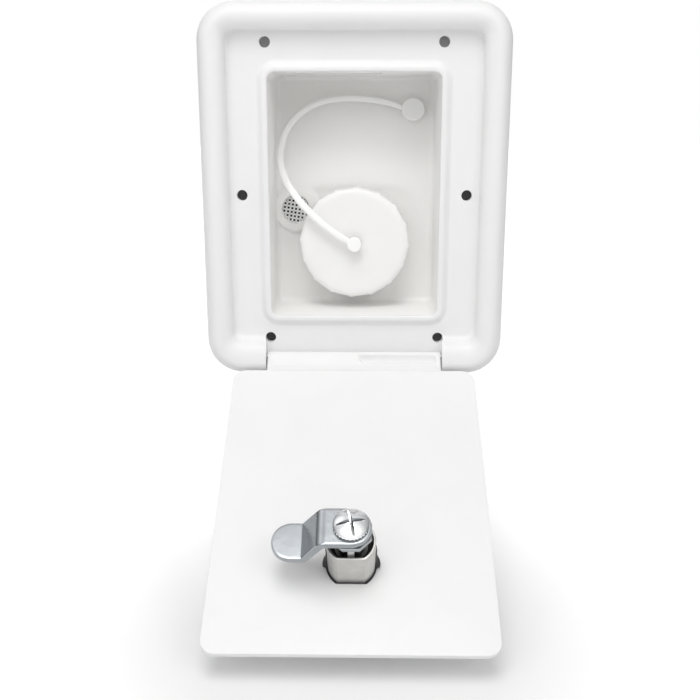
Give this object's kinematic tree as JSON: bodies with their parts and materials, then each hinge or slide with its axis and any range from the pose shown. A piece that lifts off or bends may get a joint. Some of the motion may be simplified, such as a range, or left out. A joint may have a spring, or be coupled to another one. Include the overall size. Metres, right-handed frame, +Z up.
{
  "type": "water fill hatch",
  "caption": "Flush-mounted wall hatch with a drop-down lid and cam lock over a recessed screw-cap water filler and vent.",
  "frame": {"origin": "middle of the frame on the back face of the flange, which lies on the vehicle's outer wall", "axes": "+X to the right as seen from outside, +Y into the vehicle, +Z up"},
  "size_m": [0.142, 0.1916, 0.2487],
  "materials": {
    "white_plastic": "semi-gloss moulded",
    "strap_plastic": "satin moulded",
    "gauze": "satin",
    "lock_metal": "matte die cast",
    "cam_metal": "zinc plated",
    "screw_chrome": "bright plated",
    "pin_steel": "bright drawn",
    "black_rubber": "matte",
    "seal_rubber": "matte"
  },
  "bodies": {
    "root": {"frame": "white_plastic", "left_wall": "white_plastic", "right_wall": "white_plastic", "ceiling": "white_plastic", "compartment_floor": "white_plastic", "lower_back_wall": "white_plastic", "upper_back_wall": "white_plastic", "cam_hood": "white_plastic", "filler_neck": "white_plastic", "hose_spigot": "white_plastic", "vent_ring": "white_plastic", "vent_mesh": "gauze", "breather_spigot": "white_plastic", "anchor_boss": "white_plastic", "strap_anchor": "strap_plastic", "cap_strap": "strap_plastic", "hinge_pin_left": "pin_steel", "hinge_pin_right": "pin_steel"},
    "lid": {"lid_panel": "white_plastic", "hinge_leaf": "white_plastic", "lock_body": "lock_metal", "lock_collar": "lock_metal", "lock_gasket": "black_rubber", "lock_clips": "black_rubber"},
    "lock_cam": {"lock_plug": "lock_metal", "stop_plate": "cam_metal", "cam": "cam_metal", "cam_screw": "screw_chrome"},
    "cap_carrier": {"strap_knob": "strap_plastic"},
    "cap": {"cap_seal": "seal_rubber", "filler_cap": "white_plastic"}
  },
  "joints": [
    {"name": "lid_hinge", "type": "hinge", "parent": "root", "child": "lid", "pos_m": [0, -0.0054, -0.0771], "axis": [-1, 0, 0], "range_deg": [0, 123.5]},
    {"name": "lock_turn", "type": "hinge", "parent": "lid", "child": "lock_cam", "pos_m": [0, -0.09835, -0.13995], "axis": [0, -0.5519, 0.8339], "range_deg": [0, 90]},
    {"name": "cap_rise", "type": "slide", "parent": "root", "child": "cap_carrier", "axis": [0, -1, 0], "range_m": [0, 0.0031], "deforming": ["cap_strap"]},
    {"name": "cap_turn", "type": "hinge", "parent": "cap_carrier", "child": "cap", "pos_m": [0, 0.01, -0.0243], "axis": [0, -1, 0], "range_deg": [0, 360]}
  ],
  "couplings": [
    {"joint": "cap_rise", "follows": "cap_turn", "m_per_rad": 0.00047746}
  ]
}
